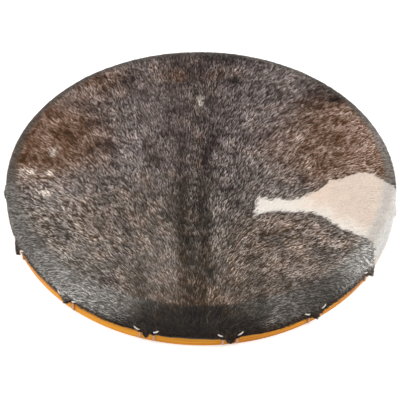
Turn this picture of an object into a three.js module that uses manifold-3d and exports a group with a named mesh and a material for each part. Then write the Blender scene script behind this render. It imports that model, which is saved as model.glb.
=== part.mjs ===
// A hair-on frame drum, standing on its open back with the head up. A thick bevelled wooden hoop carries
// one hide, which is pinched into tufts round its hem and laced by rawhide thongs to a grip ring in the
// middle of the back. The origin is on the back plane, under the middle of the head. Millimetres, +Z up.
import * as THREE from "three";
import { mergeVertices } from "three/addons/utils/BufferGeometryUtils.js";
import Module from "manifold-3d";

const wasm = await Module();
wasm.setup();

// Hoop
const HOOP_RADIUS = 246; // outer face
const HOOP_THICKNESS = 18;
const HOOP_HEIGHT = 51; // back edge to bearing edge
const BEVEL_DEG = 24; // slope of the top, falling outwards from the bearing edge
const BEARING_EDGE_RADIUS = 3;
const SHOULDER_RADIUS = 5;
const BACK_EDGE_RADIUS = 2;

// Hide
const HIDE_THICKNESS = 1.8;
const HEM_HEIGHT = 15.5; // hem above the back plane, between two tufts
const TUFT_TIP_HEIGHT = 7; // lowest point of a tuft above the back plane
const TUFT_RISE = 15; // how far above the hem a tuft starts
const TUFT_ROOT_WIDTH = 24; // across the pinched hide, above the hem
const TUFT_NECK_WIDTH = 13; // across the tuft at the hem
const TUFT_TIP_WIDTH = 7;
const TUFT_SWELL = 4.6; // how far a tuft stands out from the face of the hide
const TUFT_FLATTENING = 0.7; // share of that swell left at its root and its tip

// Lacing
const LACING_COUNT = 15;
const LACING_START_DEG = 15.4; // azimuth of the first lacing point, from +X
// How far each lacing point, spaced by eye, is off its even place
const HAND_OFFSETS_DEG = [
  0.8, -1.1, 0.5, 1.3, -0.7, -1.2, 0.4, -1.4, -2.4, -1.4, 0.1, -0.8, 0.7, 0.1, 0.6,
];
const THONG_DIAMETER = 3;
const HOLE_SPACING = 30; // between the two holes of one thong
const HOLE_RISE = 8; // holes above the hem
const LEG_SPACING = 17; // between the two legs of a thong on the rim
const RING_LEG_SPACING = 6; // between the two legs of a thong on the grip ring
const NOTCH_SPARE = 1.05; // how much deeper a notch is than a thong, which keeps the lacing off the ground
const KNOT_RADIUS = 3.6;
const KNOT_SHAPE = [1.25, 1, 0.85]; // a knot's length, breadth and height beside that radius
const KNOT_PLACE = 72; // distance of the knots from the drum's axis

// Grip ring
const RING_RADIUS = 42; // to the middle of its section
const RING_SECTION_RADIUS = 5.5;

// Clearances
const SEAT_GAP = 0.3; // between pieces that touch
const WALL_BITE = 0.3; // how far the root of a tuft starts inside the wall of the hide

// Fineness
const TURN_STEPS = LACING_COUNT * 5;
const RING_STEPS = 40;
const RING_SIDES = 8;
const THONG_SIDES = 6;
const TUFT_SIDES = 6;
const KNOT_SIDES = 6;
const KNOT_RINGS = 4;
const WRAP_STEP_DEG = 30; // between two sections of a thong round the grip ring
const ARC_STEPS = 2;
const MERGE_DISTANCE = 1e-4;

const STAINED_WOOD = new THREE.MeshStandardMaterial({ color: 0xd98a2b, roughness: 0.42, metalness: 0 });
const HAIRY_HIDE = new THREE.MeshStandardMaterial({ color: 0x4b443f, roughness: 0.85, metalness: 0 });
const RAWHIDE = new THREE.MeshStandardMaterial({ color: 0xd8c3ab, roughness: 0.55, metalness: 0 });

// Sizes that follow from the ones above
const thongRadius = THONG_DIAMETER / 2;
const hoopInner = HOOP_RADIUS - HOOP_THICKNESS;
const hideFace = SEAT_GAP + HIDE_THICKNESS; // face of the hide beyond the wood
const notchDepth = THONG_DIAMETER + NOTCH_SPARE;
const thongBelow = notchDepth - SEAT_GAP - thongRadius; // height of a thong's middle under the hoop
const wrapRadius = RING_SECTION_RADIUS + SEAT_GAP + thongRadius; // a thong's middle round the ring's section
const ringHeight = thongBelow + wrapRadius; // so that the lower legs run level
const lacingPitch = 360 / LACING_COUNT;

const radians = THREE.MathUtils.degToRad;

// A closed geometry as a solid that can be joined and cut.
function solidOf(geometry) {
  const bare = geometry.clone();
  bare.deleteAttribute("normal");
  bare.deleteAttribute("uv");
  const merged = mergeVertices(bare, MERGE_DISTANCE);
  const corners = merged.index.array;
  const kept = [];
  for (let i = 0; i < corners.length; i += 3) {
    const [a, b, c] = corners.slice(i, i + 3);
    if (a !== b && b !== c && c !== a) kept.push(a, b, c);
  }
  const vertProperties = new Float32Array(merged.attributes.position.array);
  return new wasm.Manifold(new wasm.Mesh({ numProp: 3, vertProperties, triVerts: new Uint32Array(kept) }));
}

// The geometry of a solid.
function geometryOf(solid) {
  const { vertProperties, triVerts } = solid.getMesh();
  const geometry = new THREE.BufferGeometry();
  geometry.setAttribute("position", new THREE.BufferAttribute(vertProperties, 3));
  geometry.setIndex(new THREE.BufferAttribute(triVerts, 1));
  geometry.computeVertexNormals();
  return geometry;
}

// A profile of (radius, height) points, turned round the drum's axis.
function revolve(profile) {
  return new THREE.LatheGeometry(profile, TURN_STEPS).rotateX(Math.PI / 2);
}

// Points on an arc in a profile, from one angle to another in degrees.
function arc(centre, radius, from, to) {
  return Array.from({ length: ARC_STEPS + 1 }, (_, i) => {
    const angle = radians(from + ((to - from) * i) / ARC_STEPS);
    return new THREE.Vector2(centre.x + radius * Math.cos(angle), centre.y + radius * Math.sin(angle));
  });
}

// Rings of equally many points skinned into one closed geometry with flat ends.
function loft(rings) {
  const count = rings[0].length;
  const last = (rings.length - 1) * count;
  const index = [];
  for (let i = 0; i < last; i += count) {
    for (let j = 0; j < count; j++) {
      const next = (j + 1) % count;
      index.push(i + j, i + count + j, i + next, i + next, i + count + j, i + count + next);
    }
  }
  for (let j = 1; j + 1 < count; j++) {
    index.push(0, j, j + 1, last, last + j + 1, last + j);
  }
  const geometry = new THREE.BufferGeometry().setFromPoints(rings.flat());
  return geometry.setIndex(index);
}

// A curve whose sections sit at its own points, so that bends can be fine and straight spans bare.
class RouteCurve extends THREE.CatmullRomCurve3 {
  getUtoTmapping(u) {
    return u;
  }
}

// A round tube along a route.
function tube(points, radius) {
  const section = new THREE.Shape();
  for (let i = 0; i < THONG_SIDES; i++) {
    const angle = (2 * Math.PI * i) / THONG_SIDES;
    section[i ? "lineTo" : "moveTo"](radius * Math.cos(angle), radius * Math.sin(angle));
  }
  section.closePath();
  const extrudePath = new RouteCurve(points, false, "centripetal");
  return new THREE.ExtrudeGeometry(section, { steps: points.length - 1, extrudePath, bevelEnabled: false });
}

// The top of the hoop as the hide sees it, at a distance from the wood: from the start of the bearing edge,
// over the bevel, to the top of the outer face.
function crest(offset) {
  const bearing = new THREE.Vector2(hoopInner + BEARING_EDGE_RADIUS, HOOP_HEIGHT - BEARING_EDGE_RADIUS);
  const slope = 90 - BEVEL_DEG;
  const run = HOOP_RADIUS - SHOULDER_RADIUS - bearing.x;
  const growth = SHOULDER_RADIUS - BEARING_EDGE_RADIUS;
  const drop = (growth + run * Math.cos(radians(slope))) / Math.sin(radians(slope));
  const shoulder = new THREE.Vector2(HOOP_RADIUS - SHOULDER_RADIUS, bearing.y - drop);
  return [
    ...arc(bearing, BEARING_EDGE_RADIUS + offset, 90, slope),
    ...arc(shoulder, SHOULDER_RADIUS + offset, slope, 0),
  ];
}

// Hoop
function makeHoop() {
  const inwardTop = new THREE.Vector2(hoopInner + BEARING_EDGE_RADIUS, HOOP_HEIGHT - BEARING_EDGE_RADIUS);
  const innerBack = new THREE.Vector2(hoopInner + BACK_EDGE_RADIUS, BACK_EDGE_RADIUS);
  const outerBack = new THREE.Vector2(HOOP_RADIUS - BACK_EDGE_RADIUS, BACK_EDGE_RADIUS);
  const profile = [
    ...arc(innerBack, BACK_EDGE_RADIUS, 180, 270),
    ...arc(outerBack, BACK_EDGE_RADIUS, 270, 360),
    ...crest(0).reverse(),
    ...arc(inwardTop, BEARING_EDGE_RADIUS, 90, 180).slice(1),
  ];
  profile.push(profile[0].clone());
  let hoop = solidOf(revolve(profile));
  const width = THONG_DIAMETER + 2 * SEAT_GAP;
  for (let i = 0; i < LACING_COUNT; i++) {
    for (const side of [-1, 1]) {
      const notch = new THREE.BoxGeometry(2 * HOOP_THICKNESS, width, 2 * notchDepth);
      notch.translate(HOOP_RADIUS - HOOP_THICKNESS / 2, (side * LEG_SPACING) / 2, 0);
      notch.rotateZ(radians(lacingAzimuth(i)));
      hoop = hoop.subtract(solidOf(notch));
    }
  }
  return geometryOf(hoop);
}

function lacingAzimuth(i) {
  return LACING_START_DEG + i * lacingPitch + HAND_OFFSETS_DEG[i % HAND_OFFSETS_DEG.length];
}

// One tuft of the hide, at azimuth 0: the skin between two lacing holes, folded and drawn down over the hem.
function makeTuft() {
  const tipDrop = HEM_HEIGHT - TUFT_TIP_HEIGHT;
  const flatter = TUFT_FLATTENING * TUFT_SWELL;
  const shoulderWidth = (TUFT_ROOT_WIDTH + TUFT_NECK_WIDTH) / 2;
  const lowerWidth = (TUFT_NECK_WIDTH + TUFT_TIP_WIDTH) / 2;
  const stations = [
    { height: TUFT_RISE, width: TUFT_ROOT_WIDTH, swell: -WALL_BITE },
    { height: HOLE_RISE + THONG_DIAMETER, width: TUFT_ROOT_WIDTH, swell: flatter },
    { height: HOLE_RISE - THONG_DIAMETER, width: shoulderWidth, swell: TUFT_SWELL },
    { height: thongRadius, width: TUFT_NECK_WIDTH, swell: TUFT_SWELL },
    { height: -tipDrop / 2, width: lowerWidth, swell: TUFT_SWELL },
    { height: -tipDrop, width: TUFT_TIP_WIDTH, swell: flatter },
  ];
  const base = HOOP_RADIUS + SEAT_GAP + WALL_BITE;
  return loft(
    stations.map(({ height, width, swell }) => {
      const top = HOOP_RADIUS + hideFace + swell;
      return Array.from({ length: TUFT_SIDES }, (_, i) => {
        const angle = (Math.PI * i) / (TUFT_SIDES - 1);
        const across = (-width / 2) * Math.cos(angle);
        return new THREE.Vector3(base + (top - base) * Math.sin(angle), across, HEM_HEIGHT + height);
      });
    }),
  );
}

// Hide
function makeHide() {
  const under = crest(SEAT_GAP);
  const face = crest(hideFace);
  const skin = revolve([
    new THREE.Vector2(0, HOOP_HEIGHT + SEAT_GAP),
    ...under,
    new THREE.Vector2(HOOP_RADIUS + SEAT_GAP, HEM_HEIGHT),
    new THREE.Vector2(HOOP_RADIUS + hideFace, HEM_HEIGHT),
    ...face.reverse(),
    new THREE.Vector2(0, HOOP_HEIGHT + hideFace),
  ]);
  const tuft = solidOf(makeTuft());
  const passage = solidOf(tube(rimRoute(), thongRadius + SEAT_GAP));
  let hide = solidOf(skin);
  for (let i = 0; i < LACING_COUNT; i++) hide = hide.add(tuft.rotate([0, 0, lacingAzimuth(i)]));
  for (let i = 0; i < LACING_COUNT; i++) hide = hide.subtract(passage.rotate([0, 0, lacingAzimuth(i)]));
  return geometryOf(hide);
}

// The route of a thong over the rim at azimuth 0, from the notch of one leg up through a hole, behind the
// tuft, out of the other hole and down to the other notch.
function rimRoute() {
  const half = LEG_SPACING / 2;
  const hole = HOLE_SPACING / 2;
  const holeHeight = HEM_HEIGHT + HOLE_RISE;
  const onHide = HOOP_RADIUS + hideFace + SEAT_GAP + thongRadius;
  const onWood = HOOP_RADIUS + SEAT_GAP + thongRadius;
  const turn = THONG_DIAMETER; // half the height of the bend at a hole
  const leg = (side) => [
    new THREE.Vector3(onWood, side * half, notchDepth),
    new THREE.Vector3(onHide, side * half, HEM_HEIGHT + thongRadius),
    new THREE.Vector3(onHide + SEAT_GAP, side * (hole - turn / 2), holeHeight - turn),
    new THREE.Vector3(onHide + SEAT_GAP, side * (hole + turn / 4), holeHeight - turn / 4),
    new THREE.Vector3(onHide - thongRadius / 2, side * (hole - turn / 2), holeHeight + turn / 2),
    new THREE.Vector3(onWood + SEAT_GAP, side * (hole - 2 * turn), holeHeight),
  ];
  const middle = new THREE.Vector3(onWood + SEAT_GAP, 0, holeHeight);
  return [...leg(-1), middle, ...leg(1).reverse()];
}

// Thong, at azimuth 0: a loop that hangs on the grip ring, its ends tied in a knot on the upper leg.
function makeThong() {
  const half = LEG_SPACING / 2;
  const ringHalf = RING_LEG_SPACING / 2;
  const underHoop = (side) => [
    new THREE.Vector3(hoopInner, side * half, thongBelow),
    new THREE.Vector3(HOOP_RADIUS, side * half, thongBelow),
    new THREE.Vector3(
      HOOP_RADIUS + (SEAT_GAP + thongRadius) * Math.SQRT1_2,
      side * half,
      notchDepth - (SEAT_GAP + thongRadius) * Math.SQRT1_2,
    ),
  ];
  const wrap = [];
  for (let angle = 90; angle <= 270; angle += WRAP_STEP_DEG) {
    const across = ringHalf * (1 - (angle - 90) / 90);
    const out = wrapRadius * Math.cos(radians(angle));
    const up = wrapRadius * Math.sin(radians(angle));
    wrap.push(new THREE.Vector3(RING_RADIUS + out, across, ringHeight + up));
  }
  const upperLeg = new THREE.Line3(wrap[0], underHoop(1)[0]);
  const place = (KNOT_PLACE - RING_RADIUS) / (hoopInner - RING_RADIUS);
  const overlap = thongRadius / (hoopInner - RING_RADIUS);
  const knotPoint = (share) => upperLeg.at(share, new THREE.Vector3());
  const route = [
    knotPoint(place - overlap),
    ...wrap,
    ...underHoop(-1),
    ...rimRoute(),
    ...underHoop(1).reverse(),
    knotPoint(place + overlap),
  ];
  const knot = new THREE.SphereGeometry(KNOT_RADIUS, KNOT_SIDES, KNOT_RINGS).scale(...KNOT_SHAPE);
  const middle = knotPoint(place);
  knot.translate(middle.x, middle.y, middle.z);
  return geometryOf(solidOf(tube(route, thongRadius)).add(solidOf(knot)));
}

// Assembly
const drum = new THREE.Group();

function addPiece(name, geometry, material) {
  const mesh = new THREE.Mesh(geometry, material);
  mesh.name = name;
  drum.add(mesh);
  return mesh;
}

addPiece("hoop", makeHoop(), STAINED_WOOD);
addPiece("hide", makeHide(), HAIRY_HIDE);

const ring = new THREE.TorusGeometry(RING_RADIUS, RING_SECTION_RADIUS, RING_SIDES, RING_STEPS);
addPiece("grip_ring", ring, STAINED_WOOD).position.z = ringHeight;

const thong = makeThong();
for (let i = 0; i < LACING_COUNT; i++) {
  const name = "thong_" + String(i + 1).padStart(2, "0");
  addPiece(name, thong, RAWHIDE).rotation.z = radians(lacingAzimuth(i));
}

export default drum;
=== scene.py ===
# A hair-on frame drum lying on its open back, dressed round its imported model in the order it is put
# together: the hoop, the hide drawn over it with its coat, the thongs that lace it, and the grip ring.
import math

import bpy
import numpy as np
from mathutils import Matrix, Vector, kdtree, noise


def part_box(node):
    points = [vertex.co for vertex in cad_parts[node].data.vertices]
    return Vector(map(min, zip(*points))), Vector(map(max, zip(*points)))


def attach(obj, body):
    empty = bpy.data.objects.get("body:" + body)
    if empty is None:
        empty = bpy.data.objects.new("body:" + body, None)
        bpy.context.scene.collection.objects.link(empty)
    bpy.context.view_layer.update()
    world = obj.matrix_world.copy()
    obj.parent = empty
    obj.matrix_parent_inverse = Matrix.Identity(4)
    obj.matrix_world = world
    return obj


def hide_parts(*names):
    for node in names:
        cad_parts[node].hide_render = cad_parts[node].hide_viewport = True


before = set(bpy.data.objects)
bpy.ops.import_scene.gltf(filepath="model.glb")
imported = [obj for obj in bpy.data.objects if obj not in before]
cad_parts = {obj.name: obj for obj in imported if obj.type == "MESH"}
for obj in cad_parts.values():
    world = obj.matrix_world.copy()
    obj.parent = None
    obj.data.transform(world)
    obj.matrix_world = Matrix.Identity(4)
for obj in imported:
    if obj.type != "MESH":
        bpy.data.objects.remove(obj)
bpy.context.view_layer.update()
bpy.context.scene.view_settings.view_transform = "Standard"

# Camera
# A long lens two metres off looks down on the middle of the drum from the front. It is tipped a little
# to one side.
CAMERA_DISTANCE = 2.0
CAMERA_ELEVATION = math.radians(44.68)
CAMERA_ROLL = math.radians(0.86)
CAMERA_LENS = 138.29
CAMERA_SHIFT = (-0.00225, 0.001)


def add_object(name, data):
    """A new object at the origin."""
    made = bpy.data.objects.new(name, data)
    bpy.context.scene.collection.objects.link(made)
    return made


camera_data = bpy.data.cameras.new("camera")
camera_data.lens = CAMERA_LENS
camera_data.shift_x, camera_data.shift_y = CAMERA_SHIFT
camera = add_object("camera", camera_data)
camera.matrix_world = (
    Matrix.Rotation(math.pi / 2 - CAMERA_ELEVATION, 4, "X")
    @ Matrix.Translation((0, 0, CAMERA_DISTANCE))
    @ Matrix.Rotation(CAMERA_ROLL, 4, "Z")
)
bpy.context.scene.camera = camera

# Hoop
# A thick plank of pale hardwood, steamed, bent into a ring and glued end over end. Its top is bevelled
# outwards, so that the head bears on the inner edge only. It is stained orange and waxed, and notched
# below for the thongs.
HOOP_RADIUS = 0.246
HOOP_THICKNESS = 0.018
HOOP_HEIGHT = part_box("hoop")[1].z
HOOP_STEPS = 360
HOOP_SMOOTHING = math.radians(30)
BEVEL = math.radians(24)
BEARING_EDGE_RADIUS = 0.003
SHOULDER_RADIUS = 0.005
BACK_EDGE_RADIUS = 0.002
CORNER_STEPS = 8
MERGE_DISTANCE = 1e-5
NOTCH_WIDTH = 0.0036
NOTCH_DEPTH = 0.00405
NOTCH_ROUNDING = 0.0015
NOTCH_STEPS = 4
LEG_SPACING = 0.017
LACING_COUNT = 15
THONG_NODES = [f"thong_{i + 1:02}" for i in range(LACING_COUNT)]
hoop_inner = HOOP_RADIUS - HOOP_THICKNESS


def rim_azimuth(node):
    """Where a thong's solid crosses the outer face of the hoop, as an angle round the drum."""
    outside = [v.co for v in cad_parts[node].data.vertices if v.co.xy.length > HOOP_RADIUS]
    middle = sum(outside, Vector()) / len(outside)
    return math.atan2(middle.y, middle.x)


lacing_azimuths = np.array([rim_azimuth(node) for node in THONG_NODES])


def select(*pieces):
    """Selects these pieces and nothing else, the first of them active."""
    bpy.ops.object.select_all(action="DESELECT")
    for piece in pieces:
        piece.select_set(True)
    if pieces:
        bpy.context.view_layer.objects.active = pieces[0]


def edit(piece):
    """Opens one piece alone in edit mode, with nothing in it selected."""
    select(piece)
    bpy.ops.object.mode_set(mode="EDIT")
    bpy.ops.mesh.select_mode(type="VERT")
    bpy.ops.mesh.select_all(action="DESELECT")


def face_outwards():
    """Turns the faces of the piece in edit mode outwards, and leaves edit mode."""
    bpy.ops.mesh.select_all(action="SELECT")
    bpy.ops.mesh.normals_make_consistent(inside=False)
    bpy.ops.object.mode_set(mode="OBJECT")


def round_corner(piece, corner, radius):
    """Rounds the corner of a flat outline that stands nearest a point."""
    edit(piece)
    bpy.ops.object.mode_set(mode="OBJECT")
    points = piece.data.vertices
    nearest = min(points, key=lambda v: (v.co - corner).length)
    nearest.select = True
    joined = [e for e in piece.data.edges if nearest.index in e.vertices]
    ends = [points[i].co - nearest.co for e in joined for i in e.vertices if i != nearest.index]
    offset = radius / math.tan(ends[0].angle(ends[1]) / 2)
    bpy.ops.object.mode_set(mode="EDIT")
    bpy.ops.mesh.bevel(offset=offset, affect="VERTICES", segments=CORNER_STEPS, profile=0.5)
    bpy.ops.object.mode_set(mode="OBJECT")


bearing_centre = Vector((hoop_inner + BEARING_EDGE_RADIUS, 0, HOOP_HEIGHT - BEARING_EDGE_RADIUS))
bevel_normal = Vector((math.sin(BEVEL), 0, math.cos(BEVEL)))
bevel_point = bearing_centre + BEARING_EDGE_RADIUS * bevel_normal
inner_top = bevel_point.z + (bevel_point.x - hoop_inner) * math.tan(BEVEL)
outer_top = bevel_point.z - (HOOP_RADIUS - bevel_point.x) * math.tan(BEVEL)

select()
bpy.ops.mesh.primitive_plane_add(size=HOOP_THICKNESS, rotation=(math.pi / 2, 0, 0))
hoop = bpy.context.object
hoop.name = "bent_hoop"
bpy.ops.object.transform_apply()
for corner in hoop.data.vertices:
    top = outer_top if corner.co.x > 0 else inner_top
    corner.co.z = top if corner.co.z > 0 else 0
    corner.co.x = HOOP_RADIUS if corner.co.x > 0 else hoop_inner
round_corner(hoop, Vector((hoop_inner, 0, inner_top)), BEARING_EDGE_RADIUS)
round_corner(hoop, Vector((HOOP_RADIUS, 0, outer_top)), SHOULDER_RADIUS)
round_corner(hoop, Vector((hoop_inner, 0, 0)), BACK_EDGE_RADIUS)
round_corner(hoop, Vector((HOOP_RADIUS, 0, 0)), BACK_EDGE_RADIUS)
edit(hoop)
bpy.ops.mesh.select_all(action="SELECT")
bpy.ops.mesh.delete(type="ONLY_FACE")
bpy.ops.mesh.select_all(action="SELECT")
bpy.ops.mesh.spin(steps=HOOP_STEPS, angle=2 * math.pi, center=(0, 0, 0), axis=(0, 0, 1))
bpy.ops.mesh.select_all(action="SELECT")
bpy.ops.mesh.remove_doubles(threshold=MERGE_DISTANCE)
face_outwards()

# One notch is modelled and copied to both legs of every thong.
select()
bpy.ops.mesh.primitive_cube_add(size=1)
notch = bpy.context.object
notch.scale = (2 * HOOP_THICKNESS, NOTCH_WIDTH, 2 * NOTCH_DEPTH)
notch.location = (HOOP_RADIUS - HOOP_THICKNESS / 2, 0, 0)
bpy.ops.object.transform_apply()
edit(notch)
bpy.ops.object.mode_set(mode="OBJECT")
for edge in notch.data.edges:
    ends = [notch.data.vertices[i].co for i in edge.vertices]
    edge.select = all(end.z > 0 for end in ends) and abs(ends[0].y - ends[1].y) < MERGE_DISTANCE
bpy.ops.object.mode_set(mode="EDIT")
bpy.ops.mesh.select_mode(type="EDGE")
bpy.ops.mesh.bevel(offset=NOTCH_ROUNDING, segments=NOTCH_STEPS)
bpy.ops.object.mode_set(mode="OBJECT")
notches = []
for azimuth in lacing_azimuths:
    for side in (-1, 1):
        aside = Matrix.Translation((0, side * LEG_SPACING / 2, 0))
        copy = add_object("notch", notch.data.copy())
        copy.data.transform(Matrix.Rotation(azimuth, 4, "Z") @ aside)
        notches.append(copy)
select(*notches)
bpy.ops.object.join()
cut = hoop.modifiers.new("notches", "BOOLEAN")
cut.operation = "DIFFERENCE"
cut.solver = "EXACT"
cut.object = notches[0]
select(hoop)
bpy.ops.object.modifier_apply(modifier=cut.name)
bpy.ops.object.shade_smooth_by_angle(angle=HOOP_SMOOTHING)
bpy.data.objects.remove(notches[0])
bpy.data.objects.remove(notch)


class Shade:
    """A socket in a material's nodes. Sums on it add Math nodes, and node() adds any other node."""

    def __init__(self, tree, link=None):
        self.tree = tree
        self.link = link

    def node(self, kind, settings=None, sockets=None, output=0):
        """Adds a node, sets its settings and then its sockets, and gives one of its outputs."""
        made = self.tree.nodes.new("ShaderNode" + kind)
        for name, value in (settings or {}).items():
            if name == "curve":
                points = made.mapping.curves[0].points
                for i, place in enumerate(value):
                    point = points[i] if i < 2 else points.new(*place)
                    point.location = place
                made.mapping.update()
            else:
                setattr(made, name, value)
        for name, value in (sockets or {}).items():
            if isinstance(value, Shade):
                self.tree.links.new(value.link, made.inputs[name])
            else:
                made.inputs[name].default_value = value
        return Shade(self.tree, made.outputs[output] if made.outputs else None)

    def sum(self, operation, first, second=0.0):
        return self.node("Math", {"operation": operation}, {0: first, 1: second})

    def __add__(self, other):
        return self.sum("ADD", self, other)

    __radd__ = __add__

    def __sub__(self, other):
        return self.sum("SUBTRACT", self, other)

    def __rsub__(self, other):
        return self.sum("SUBTRACT", other, self)

    def __mul__(self, other):
        return self.sum("MULTIPLY", self, other)

    __rmul__ = __mul__

    def __truediv__(self, other):
        return self.sum("DIVIDE", self, other)

    def __abs__(self):
        return self.sum("ABSOLUTE", self)

    def root(self):
        return self.sum("SQRT", self)

    def attribute(self, name, output="Vector"):
        """What the mesh says of its points under a name."""
        return self.node("Attribute", {"attribute_name": name}, {}, output)

    def parts(self):
        """The three numbers of a vector."""
        split = self.node("SeparateXYZ", {}, {0: self})
        return [Shade(self.tree, output) for output in split.link.node.outputs]

    def vector(self, x, y, z):
        return self.node("CombineXYZ", {}, {0: x, 1: y, 2: z})

    def step(self, start, end):
        """Rises smoothly from 0 at one value to 1 at another, in either direction."""
        sockets = {"Value": self, "From Min": start, "From Max": end}
        return self.node("MapRange", {"interpolation_type": "SMOOTHSTEP"}, sockets)

    def mix(self, low, high):
        """A colour between two, by this share."""
        return self.node("Mix", {"data_type": "RGBA"}, {0: self, 6: low, 7: high}, 2)

    def scale(self, colour, level):
        """A colour made lighter or darker."""
        return self.node("VectorMath", {"operation": "SCALE"}, {0: colour, "Scale": level})

    def noise(self, scale, detail=2.0, roughness=0.5, flat=False):
        """Soft noise about 0.5 at this place."""
        settings = {"noise_dimensions": "2D" if flat else "3D"}
        sockets = {"Vector": self, "Scale": scale, "Detail": detail, "Roughness": roughness}
        return self.node("TexNoise", settings, sockets)

    def bump(self, height, strength, distance):
        return self.node("Bump", {}, {"Height": height, "Strength": strength, "Distance": distance})

    def surface(self, sockets):
        """Ends a material in one surface."""
        shader = self.node("BsdfPrincipled", {}, sockets)
        self.node("OutputMaterial", {}, {"Surface": shader})


def new_finish(name):
    """An empty material, and a socket to build its nodes from."""
    material = bpy.data.materials.new(name)
    material.use_nodes = True
    material.node_tree.nodes.clear()
    return material, Shade(material.node_tree)


def dress(piece, *finishes):
    """Gives a piece its materials."""
    piece.data.materials.clear()
    for finish in finishes:
        piece.data.materials.append(finish)


def paint(red, green, blue):
    """A colour from display values of 0 to 255."""
    shares = [level / 255 for level in (red, green, blue)]
    return (*[s / 12.92 if s < 0.04045 else ((s + 0.055) / 1.055) ** 2.4 for s in shares], 1.0)


GRAIN_LENGTH = 0.16
GRAIN_WIDTH = 0.0035
CLOUD_LENGTH = 1 / 6
CLOUD_WIDTH = 0.05
PORE_LENGTH = 0.011
PORE_WIDTH = 0.0005
CLOUD_SHARE = 0.25
FIGURE_STRENGTH = 0.7
PORE_STRENGTH = 0.35
OUTER_FACE_DEPTHS = (0.002, 0.0005)
# Painted shadow cast by the hide's hem on the hoop's outer face: its colour, the heights it rises over and
# how far it wanders.
HEM_SHADOW_COLOUR = paint(74, 42, 14)
HEM_SHADOW_HEIGHTS = (0.011, 0.0205)
HEM_SHADOW_WANDER = 0.008


def bent_wood(name, bend_radius, pale, middle, dark, hem_shadow_share=0.0):
    """Stained and waxed wood whose grain follows a bend round the drum's axis and meets on the far side.
    Its outer face can take a painted shadow, darkest where it meets the hide."""
    material, shade = new_finish(name)
    x, y, z = shade.node("TexCoord", {}, {}, "Object").parts()
    across = (x * x + y * y).root()
    run = shade.sum("ARCTAN2", x, 0 - y) * bend_radius

    def drawn_out(length, width):
        """The place in the wood, drawn out along the grain."""
        return shade.vector(run / length, across / width, z / width)

    grain = drawn_out(GRAIN_LENGTH, GRAIN_WIDTH).noise(1.0, 4.0, 0.6)
    cloud = drawn_out(CLOUD_LENGTH, CLOUD_WIDTH).noise(1.0, 2.0)
    pore = drawn_out(PORE_LENGTH, PORE_WIDTH).noise(1.0, 1.0).step(0.6, 0.72)
    figure = (grain * (1 - CLOUD_SHARE) + cloud * CLOUD_SHARE).step(0.36, 0.62)
    colour = grain.step(0.3, 0.62).mix(dark, middle)
    colour = (figure * FIGURE_STRENGTH).mix(colour, pale)
    colour = (pore * PORE_STRENGTH).mix(colour, dark)
    outside = across.step(*[bend_radius - depth for depth in OUTER_FACE_DEPTHS])
    # Painted shadow under the hem, rising towards the top of the outer face.
    hem_shadow = outside * hem_shadow_share * (z + cloud * HEM_SHADOW_WANDER).step(*HEM_SHADOW_HEIGHTS)
    sockets = {
        "Base Color": hem_shadow.mix(colour, HEM_SHADOW_COLOUR),
        "Roughness": 0.36 + 0.14 * grain + 0.12 * pore,
        "Normal": shade.bump(grain * 0.6 - pore * 0.4, 0.12, 0.0004),
        "Specular IOR Level": 0.12,
        "Coat Weight": 0.02,
        "Coat Roughness": 0.3,
    }
    shade.surface(sockets)
    return material


HOOP_STAINS = (paint(234, 162, 42), paint(224, 146, 32), paint(178, 104, 28))
# The hoop's outer face gets the painted shadow under the hem at half strength.
dress(hoop, bent_wood("orange_stained_wood", HOOP_RADIUS, *HOOP_STAINS, hem_shadow_share=0.5))
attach(hoop, "root")
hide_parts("hoop")

# Hide
# One round of hair-on skin, put on wet over the bevel and drawn down the face of the hoop, where it dries
# drum tight. Between the two holes of each thong its hem is pinched into a pleated tuft that hangs over
# the wood.
SKIN_THICKNESS = 0.0018
SEAT_GAP = 0.0003
BEARING_ROWS = 5
SHOULDER_ROWS = 13
HEM_HEIGHT = 0.0165
HEM_SWING = 0.0026
HEM_SWING_TURN = math.radians(-68)
HEM_RAGGEDNESS = 0.0009
HEM_WAVES = [(23, 1.0, 1.0), (57, 2.0, 0.6)]
TUFT_PLEAT = 0.005
TUFT_PLEAT_DEPTH = 0.0009
TUFT_FLANK = (0.0040, 0.0063)
TUFT_ROUNDNESS = 0.7
TUFT_HEIGHTS = np.array([0.0025, 0.009, 0.017, 0.0205, 0.0265, 0.0325])
TUFT_WIDTHS = np.array([0.0085, 0.0115, 0.0145, 0.019, 0.024, 0.026])
TUFT_SWELLS = np.array([0.0034, 0.0046, 0.0047, 0.0042, 0.0026, 0.0])
TUFT_BREADTHS = np.array([1, 0.85, 0.95, 0.8, 1, 0.9, 0.85, 0.95, 0.9, 0.85, 0.62, 1, 0.85, 0.85, 0.5])
TUFT_TIPS = np.array([9.5, 8, 10, 9, 8.5, 10.5, 9, 8, 6, 13.5, 11, 9.5, 10.5, 9, 13.5]) / 1000
SLIM_TUFT_SWELL = 0.4
THONG_THICKNESS = 0.0018
LEG_BULGE = 0.0028
LEG_COVER = (0.0175, 0.0205)
HEAD_RINGS = [0.05, 0.1, 0.15, 0.2, 0.222]
WALL_RINGS = 14
WALL_DEPTH = 0.024
HIDE_COLUMNS = 44
COLUMN_PLACES = [(0, 0.0), (7, 0.009), (11, 0.016), (16, 0.028)]
hide_face = SEAT_GAP + SKIN_THICKNESS


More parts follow.
